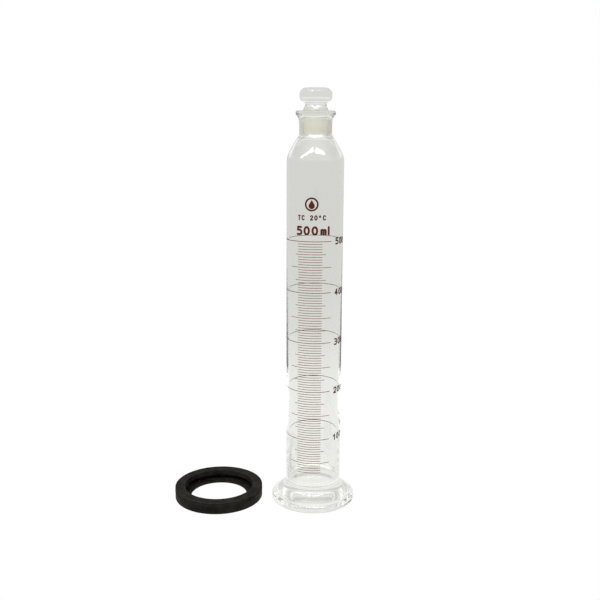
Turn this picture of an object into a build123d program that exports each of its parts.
from build123d import *
import math
import os

# Stoppered measuring cylinder, 500 ml, with its rubber foot ring lying beside it.
# Millimetres. +Z is up, the origin is the middle of the foot's underside on the bench,
# and -Y is the side that the scale faces. Angles round the glass are counted from -Y,
# positive towards +X.

# ---- Scale: the bore sets the height of one millilitre ----
BORE_R = 25.4
ML_HEIGHT = 1000 / (math.pi * BORE_R**2)
FLOOR_Z = 21.7
CAPACITY_ML = 500

# ---- Tube ----
TUBE_R = 27.5
TUBE_WALL = TUBE_R - BORE_R
TUBE_BOTTOM_Z = 17.2
FLOOR_CORNER_R = 6.0
SHOULDER_Z = 347.4
SHOULDER_ANGLE = 30.7
SHOULDER_BEND_R = 22.0
SHOULDER_WALL = 2.6
WELD_Z = 363.2

# ---- Neck with its ground socket, 1:10 on diameter ----
NECK_R = 15.6
NECK_TOP_R = 15.8
FLANGE_R = 19.05
FLANGE_BELOW_Z = 380.8
FLANGE_WIDEST_Z = 386.4
RIM_Z = 389.4
RIM_ROUND = 1.8
SOCKET_MOUTH_R = 12.25
SOCKET_MOUTH_Z = 388.6
SOCKET_FOOT_Z = 366.9
TAPER = 0.05

# ---- Stopper ----
SEAT_CLEARANCE = 0.03
PLUG_FOOT_Z = 367.4
PLUG_TOP_Z = 390.1
WAIST_R = 10.2
WAIST_Z = 395.6
HEAD_R = 15.4
HEAD_LOW_R = 13.5
HEAD_LOW_Z = 398.5
HEAD_SIDE_Z = 401.9
HEAD_HIGH_Z = 405.7
HEAD_TOP_Z = 410.3
HEAD_TOP_R = 11.0
HEAD_DISH = 0.5

# ---- Foot ----
FOOT_R = 42.2
FOOT_EDGE_Z = 4.0
REST_OUTER_R = 41.4
REST_INNER_R = 33.0
UNDERSIDE_RISE = 5.0
FLARE_THROUGH = [(39.4, 7.6), (34.6, 11.3), (30.0, 15.8)]
FLARE_TOP_R = 27.75
FLARE_TOP_Z = 20.0
TUBE_CORNER_R = FLARE_TOP_Z - TUBE_BOTTOM_Z

# ---- Rubber foot ring ----
RING_X = -97.5
RING_R = 45.0
RING_HEIGHT = 12.0
RING_EDGE_ROUND = 0.9
RING_TOP_LIP_R = 34.9
RING_THROAT_R = 34.2
RING_BOTTOM_LIP_R = 28.6
GROOVE_R = 42.7
GROOVE_LOW_Z = 2.2
GROOVE_HIGH_Z = 6.9

# ---- Fired enamel print ----
FILM_GAP = 0.005
FILM = 0.05
FILM_IN_R = TUBE_R + FILM_GAP
FILM_OUT_R = FILM_IN_R + FILM
LINE_HEIGHT = 0.5
RING_LINE_HEIGHT = 0.6
LOWEST_ML = 30
RING_LINE = (86.0, 394.0)
LONG_LINE = (-53.5, 34.5)
MIDDLE_LINE = (-42.0, 22.0)
SHORT_LINE = (-35.5, 14.5)
NUMERAL_ANGLE = 61.5
NUMERAL_PITCH = 5.9
NUMERAL_WIDTH = 4.8
NUMERAL_HEIGHT = 6.8
NUMERAL_PEN = 1.45
CAPACITY_ANGLES = {"5": -32.8, "0": -17.2, "O": -1.0, "m": 16.4, "l": 27.4}
CAPACITY_LOW = 5.9
CAPACITY_WIDTH = 6.3
CAPACITY_HEIGHT = 8.8
CAPACITY_PEN = 2.0
CALIBRATION_TEXT = "TC 20°C"
CALIBRATION_ANGLE = -7.6
CALIBRATION_LOW = 20.0
CALIBRATION_WIDTH = 3.1
CALIBRATION_HEIGHT = 5.0
CALIBRATION_PITCH = 4.1
CALIBRATION_PEN = 1.15
EMBLEM_ANGLE = -7.6
EMBLEM_MIDDLE = 35.0
EMBLEM_R = 6.5
EMBLEM_LINE = 1.6
DROP_R = 2.9
DROP_LOW = -1.4
DROP_TIP = 4.3


def scale_z(millilitres):
    """Height of a volume's line above the bench."""
    return FLOOR_Z + millilitres * ML_HEIGHT


def turned(*edges):
    """Solid of revolution about Z from a closed outline of (radius, height) edges."""
    outline = Plane.XZ * make_face(Wire(list(edges)))
    return revolve(outline, axis=Axis.Z)


def path(points):
    """Straight edges through (radius, height) points."""
    return Polyline(*points).edges()


def arc_from(previous, end):
    """Arc that leaves an edge smoothly and stops at a point."""
    return TangentArc(previous @ 1, end, tangent=previous % 1)


# ---------------------------------------------------------------- glass pieces

def cone_r(z):
    """Outside radius of the shoulder's cone at a height."""
    return TUBE_R - (z - SHOULDER_Z) * math.tan(math.radians(SHOULDER_ANGLE))


def inner_cone_r(z):
    """Inside radius of the shoulder's cone at a height."""
    return cone_r(z) - SHOULDER_WALL / math.cos(math.radians(SHOULDER_ANGLE))


def make_tube():
    """Straight tube with its closed floor and its drawn-in conical shoulder."""
    slope = math.radians(SHOULDER_ANGLE)
    bend = SHOULDER_BEND_R * math.tan(slope / 2)
    bend_end_z = SHOULDER_Z + bend * math.cos(slope)
    inner_z = SHOULDER_Z + (inner_cone_r(SHOULDER_Z) - BORE_R) / math.tan(slope)
    inner_bend_end_z = inner_z + bend * math.cos(slope)

    floor = Line((0, TUBE_BOTTOM_Z), (TUBE_R - TUBE_CORNER_R, TUBE_BOTTOM_Z))
    corner = arc_from(floor, (TUBE_R, TUBE_BOTTOM_Z + TUBE_CORNER_R))
    wall = Line(corner @ 1, (TUBE_R, SHOULDER_Z - bend))
    shoulder_bend = arc_from(wall, (cone_r(bend_end_z), bend_end_z))
    cone = Line(shoulder_bend @ 1, (cone_r(WELD_Z), WELD_Z))
    weld = Line(cone @ 1, (inner_cone_r(WELD_Z), WELD_Z))
    inner_cone = Line(weld @ 1, (inner_cone_r(inner_bend_end_z), inner_bend_end_z))
    inner_bend = arc_from(inner_cone, (BORE_R, inner_z - bend))
    inner_wall = Line(inner_bend @ 1, (BORE_R, FLOOR_Z + FLOOR_CORNER_R))
    inner_corner = arc_from(inner_wall, (BORE_R - FLOOR_CORNER_R, FLOOR_Z))
    inner_floor = Line(inner_corner @ 1, (0, FLOOR_Z))
    axis_edge = Line(inner_floor @ 1, floor @ 0)
    return turned(
        floor, corner, wall, shoulder_bend, cone, weld,
        inner_cone, inner_bend, inner_wall, inner_corner, inner_floor, axis_edge,
    )


def make_neck():
    """Neck with the top of the shoulder, its rolled flange and its ground conical socket."""
    neck_foot_z = SHOULDER_Z + (TUBE_R - NECK_R) / math.tan(math.radians(SHOULDER_ANGLE))
    socket_foot_r = SOCKET_MOUTH_R - TAPER * (SOCKET_MOUTH_Z - SOCKET_FOOT_Z)

    cone = Line((cone_r(WELD_Z), WELD_Z), (NECK_R, neck_foot_z))
    barrel = Line(cone @ 1, (NECK_TOP_R, FLANGE_BELOW_Z))
    flare = Spline(
        (NECK_TOP_R, FLANGE_BELOW_Z), (FLANGE_R, FLANGE_WIDEST_Z),
        tangents=[(0.1, 1), (0.35, 1)],
    )
    edge = Line(flare @ 1, (FLANGE_R, RIM_Z - RIM_ROUND))
    edge_round = arc_from(edge, (FLANGE_R - RIM_ROUND, RIM_Z))
    rim = Line(edge_round @ 1, (SOCKET_MOUTH_R + RIM_Z - SOCKET_MOUTH_Z, RIM_Z))
    mouth_round = arc_from(rim, (SOCKET_MOUTH_R, SOCKET_MOUTH_Z))
    socket = Line(mouth_round @ 1, (socket_foot_r, SOCKET_FOOT_Z))
    throat = Line(socket @ 1, (inner_cone_r(WELD_Z), WELD_Z))
    weld = Line(throat @ 1, cone @ 0)
    return turned(cone, barrel, flare, edge, edge_round, rim, mouth_round, socket, throat, weld)


def make_stopper():
    """Solid pressed stopper: ground plug, waist and flat-topped round head."""
    def seat_r(z):
        return SOCKET_MOUTH_R - SEAT_CLEARANCE - TAPER * (SOCKET_MOUTH_Z - z)

    foot_round = 1.0
    foot = Line((0, PLUG_FOOT_Z), (seat_r(PLUG_FOOT_Z) - foot_round, PLUG_FOOT_Z))
    foot_corner = arc_from(foot, (seat_r(PLUG_FOOT_Z + foot_round), PLUG_FOOT_Z + foot_round))
    plug = Line(foot_corner @ 1, (seat_r(PLUG_TOP_Z), PLUG_TOP_Z))
    waist = Spline(
        (seat_r(PLUG_TOP_Z), PLUG_TOP_Z), (WAIST_R, WAIST_Z), (HEAD_LOW_R, HEAD_LOW_Z),
        tangents=[(-0.5, 1), (1, 0.7)],
    )
    head_under = Spline(
        waist @ 1, (HEAD_R, HEAD_SIDE_Z), tangents=[(1, 0.7), (0, 1)],
    )
    head_side = Line(head_under @ 1, (HEAD_R, HEAD_HIGH_Z))
    head_top = Spline(
        head_side @ 1, (HEAD_TOP_R, HEAD_TOP_Z), tangents=[(0, 1), (-1, 0)],
    )
    dish = Spline(
        head_top @ 1, (0, HEAD_TOP_Z - HEAD_DISH), tangents=[(-1, 0), (-1, 0)],
    )
    axis_edge = Line(dish @ 1, foot @ 0)
    return turned(
        foot, foot_corner, plug, waist, head_under, head_side, head_top, dish, axis_edge,
    )


def make_foot():
    """Pressed round foot: hollow underside, thick rim and a flare up to the tube."""
    dome = ThreePointArc(
        (0, UNDERSIDE_RISE), (REST_INNER_R / 2, 0.75 * UNDERSIDE_RISE), (REST_INNER_R, 0),
    )
    rest = Line(dome @ 1, (REST_OUTER_R, 0))
    toe = arc_from(rest, (FOOT_R, FOOT_R - REST_OUTER_R))
    edge = Line(toe @ 1, (FOOT_R, FOOT_EDGE_Z))
    flare = Spline(
        (FOOT_R, FOOT_EDGE_Z),
        *FLARE_THROUGH,
        (FLARE_TOP_R, FLARE_TOP_Z),
        tangents=[(0, 1), (-0.1, 1)],
    )
    seat_top = Line(flare @ 1, (TUBE_R, FLARE_TOP_Z))
    seat_corner = TangentArc(
        seat_top @ 1, (TUBE_R - TUBE_CORNER_R, TUBE_BOTTOM_Z), tangent=(0, -1),
    )
    seat_floor = Line(seat_corner @ 1, (0, TUBE_BOTTOM_Z))
    axis_edge = Line(seat_floor @ 1, dome @ 0)
    return turned(
        dome, rest, toe, edge, flare, seat_top, seat_corner, seat_floor, axis_edge,
    )


# ---------------------------------------------------------------- rubber ring

def make_foot_ring():
    """Moulded rubber ring with a groove that snaps over the rim of the foot."""
    base = Line((RING_BOTTOM_LIP_R + 0.5, 0), (RING_R - RING_EDGE_ROUND, 0))
    base_round = arc_from(base, (RING_R, RING_EDGE_ROUND))
    side = Line(base_round @ 1, (RING_R, RING_HEIGHT - RING_EDGE_ROUND))
    top_round = arc_from(side, (RING_R - RING_EDGE_ROUND, RING_HEIGHT))
    top = Line(top_round @ 1, (RING_TOP_LIP_R + RING_EDGE_ROUND, RING_HEIGHT))
    lip_round = arc_from(top, (RING_TOP_LIP_R, RING_HEIGHT - RING_EDGE_ROUND))
    inside = path([
        (RING_TOP_LIP_R, RING_HEIGHT - RING_EDGE_ROUND),
        (RING_THROAT_R, GROOVE_HIGH_Z),
        (GROOVE_R, GROOVE_HIGH_Z),
        (GROOVE_R, GROOVE_LOW_Z),
        (RING_BOTTOM_LIP_R + 0.5, GROOVE_LOW_Z - 0.4),
        (RING_BOTTOM_LIP_R, GROOVE_LOW_Z - 0.9),
        (RING_BOTTOM_LIP_R, 0.5),
        (RING_BOTTOM_LIP_R + 0.5, 0),
    ])
    ring = turned(base, base_round, side, top_round, top, lip_round, *inside)
    return Pos(RING_X, 0, 0) * ring


# ---------------------------------------------------------------- enamel print

def film_line(millilitres, span, height):
    """One scale line: a thin band round part of the tube at a volume's height."""
    start, end = span
    section = Plane.XZ * (
        Pos((FILM_IN_R + FILM_OUT_R) / 2, scale_z(millilitres)) * Rectangle(FILM, height)
    )
    band = revolve(section, axis=Axis.Z, revolution_arc=end - start)
    return Rot(0, 0, start - 90) * band


def stroke(edges, pen):
    """Outline of one pen stroke with round ends."""
    line = Wire(edges)
    return Face(line.offset_2d(pen / 2, kind=Kind.ARC, side=Side.BOTH))


def inked(strokes, pen):
    """Several pen strokes joined into one outline."""
    return Sketch() + [stroke(edges, pen) for edges in strokes]


def oval(left, low, width, height, pen):
    """Closed ring-shaped stroke."""
    outer = Pos(left + width / 2, low + height / 2) * Ellipse((width + pen) / 2, (height + pen) / 2)
    inner = Pos(left + width / 2, low + height / 2) * Ellipse((width - pen) / 2, (height - pen) / 2)
    return outer - inner


def glyph(character, width, height, pen):
    """Flat outline of a character, centred left to right, standing on the base line."""
    w = width - pen
    h = height - pen

    def straight(*points):
        return Polyline(*points).edges()

    def round_bow(centre, radius, start, sweep):
        return CenterArc(centre, radius, start, sweep)

    def bowl(low, high, left_low, left_high):
        """Right-hand bowl between two heights, with straight tails to the left."""
        radius = (high - low) / 2
        bend = round_bow((w - radius, low + radius), radius, 90, -180)
        tail_in = straight((left_high, high), bend @ 0)
        return [*tail_in, *bend.edges(), *straight(bend @ 1, (left_low, low))]

    if character in "0O":
        shape = oval(0, 0, w, h, pen)
    elif character == "°":
        shape = oval(0.1 * w, 0.62 * h, 0.6 * w, 0.38 * h, 0.8 * pen)
    elif character == "1":
        shape = inked([straight((0.15 * w, 0.76 * h), (0.6 * w, h), (0.6 * w, 0))], pen)
    elif character == "2":
        hook = round_bow((w / 2, h - w / 2), w / 2, 165, -200)
        shape = inked([[*hook.edges(), *straight(hook @ 1, (0, 0), (w, 0))]], pen)
    elif character == "3":
        upper = bowl(0.52 * h, h, 0.45 * w, 0.1 * w)
        lower = bowl(0, 0.52 * h, 0, 0.45 * w)
        shape = inked([upper, lower], pen)
    elif character == "4":
        corner = straight((0.72 * w, h), (0, 0.3 * h), (w, 0.3 * h))
        shape = inked([corner, straight((0.72 * w, h), (0.72 * w, 0))], pen)
    elif character == "5":
        top = straight((0.92 * w, h), (0.12 * w, h), (0.08 * w, 0.6 * h))
        shape = inked([[*top, *bowl(0, 0.6 * h, 0, 0.08 * w)]], pen)
    elif character == "m":
        radius = w / 4
        spring = 0.62 * h - radius
        stem = straight((0, 0.62 * h), (0, 0))
        arches = []
        for side in (radius, 3 * radius):
            bend = round_bow((side, spring), radius, 180, -180)
            arches.append([*bend.edges(), *straight(bend @ 1, (side + radius, 0))])
        shape = inked([stem, *arches], pen)
    elif character == "l":
        shape = inked([straight((w / 2, 0), (w / 2, h))], pen)
    elif character == "T":
        shape = inked([straight((0, h), (w, h)), straight((w / 2, h), (w / 2, 0))], pen)
    else:
        upper = round_bow((w / 2, h - w / 2), w / 2, 20, 160)
        side = straight(upper @ 1, (0, w / 2))
        lower = round_bow((w / 2, w / 2), w / 2, 180, 160)
        shape = inked([[*upper.edges(), *side, *lower.edges()]], pen)
    return Pos(-w / 2, pen / 2) * shape


def wrap(flat, angle, z):
    """Print a flat outline on the tube: its base line at height z, its middle at an angle."""
    turn = math.radians(angle)
    outward = (math.sin(turn), -math.cos(turn), 0)
    reach = 3.0
    face_plane = Plane(
        origin=(outward[0] * (TUBE_R - reach), outward[1] * (TUBE_R - reach), z),
        x_dir=(math.cos(turn), math.sin(turn), 0),
        z_dir=outward,
    )
    block = extrude(face_plane * flat, amount=2 * reach, dir=outward)
    low = z + flat.bounding_box().min.Y - 1
    tall = flat.bounding_box().size.Y + 2
    shell = Cylinder(FILM_OUT_R, tall) - Cylinder(FILM_IN_R, tall)
    return block & (Pos(0, 0, low + tall / 2) * shell)


def printed(characters, angles, z, width, height, pen):
    """A row of characters, each at its own angle."""
    return [
        wrap(glyph(character, width, height, pen), angle, z)
        for character, angle in zip(characters, angles)
    ]


def make_line_nodes():
    """The scale's lines, grouped by their length."""
    groups = {"marks_100ml": [], "marks_50ml": [], "marks_25ml": [], "marks_5ml": []}
    for volume in range(LOWEST_ML, CAPACITY_ML + 1, 5):
        if volume % 100 == 0:
            groups["marks_100ml"].append(film_line(volume, RING_LINE, RING_LINE_HEIGHT))
        elif volume % 50 == 0:
            groups["marks_50ml"].append(film_line(volume, LONG_LINE, LINE_HEIGHT))
        elif volume % 25 == 0:
            groups["marks_25ml"].append(film_line(volume, MIDDLE_LINE, LINE_HEIGHT))
        else:
            groups["marks_5ml"].append(film_line(volume, SHORT_LINE, LINE_HEIGHT))
    return groups


def make_numeral(volume):
    """One number of the scale, centred on its line."""
    step = math.degrees(NUMERAL_PITCH / TUBE_R)
    angles = [NUMERAL_ANGLE + step * place for place in (-1, 0, 1)]
    low = scale_z(volume) - NUMERAL_HEIGHT / 2
    return printed(str(volume), angles, low, NUMERAL_WIDTH, NUMERAL_HEIGHT, NUMERAL_PEN)


def make_capacity_legend():
    """The nominal capacity above the top line."""
    low = scale_z(CAPACITY_ML) + CAPACITY_LOW
    return printed(
        CAPACITY_ANGLES.keys(), CAPACITY_ANGLES.values(), low,
        CAPACITY_WIDTH, CAPACITY_HEIGHT, CAPACITY_PEN,
    )


def make_calibration_legend():
    """Generic calibration note: to contain, at twenty degrees Celsius."""
    step = math.degrees(CALIBRATION_PITCH / TUBE_R)
    middle = (len(CALIBRATION_TEXT) - 1) / 2
    places = [(c, i) for i, c in enumerate(CALIBRATION_TEXT) if c != " "]
    angles = [CALIBRATION_ANGLE + step * (i - middle) for _, i in places]
    low = scale_z(CAPACITY_ML) + CALIBRATION_LOW
    return printed(
        [c for c, _ in places], angles, low,
        CALIBRATION_WIDTH, CALIBRATION_HEIGHT, CALIBRATION_PEN,
    )


def make_drop_emblem():
    """Plain drop of liquid inside a circle."""
    circle = Circle(EMBLEM_R) - Circle(EMBLEM_R - EMBLEM_LINE)
    reach = DROP_TIP - DROP_LOW
    touch = math.acos(DROP_R / reach)
    side_x = DROP_R * math.sin(touch)
    side_y = DROP_LOW + DROP_R * math.cos(touch)
    body = Pos(0, DROP_LOW) * Circle(DROP_R)
    tip = make_face(Polyline((-side_x, side_y), (0, DROP_TIP), (side_x, side_y), close=True))
    drop = body + tip
    middle = scale_z(CAPACITY_ML) + EMBLEM_MIDDLE
    return [wrap(circle, EMBLEM_ANGLE, middle), wrap(drop, EMBLEM_ANGLE, middle)]


def save(node, solids):
    """Write one node's solids to its own file."""
    if isinstance(solids, list):
        loose = [s for piece in solids for s in piece.solids()]
        solids = Compound(children=loose) if len(loose) > 1 else loose[0]
    export_step(solids, f"parts/{node}.step")


def main():
    os.makedirs("parts", exist_ok=True)
    save("tube", make_tube())
    save("neck", make_neck())
    save("foot", make_foot())
    save("stopper", make_stopper())
    save("foot_ring", make_foot_ring())
    for node, lines in make_line_nodes().items():
        save(node, lines)
    for volume in range(100, CAPACITY_ML + 1, 100):
        save(f"numeral_{volume}", make_numeral(volume))
    save("capacity_legend", make_capacity_legend())
    save("calibration_legend", make_calibration_legend())
    save("drop_emblem", make_drop_emblem())


main()
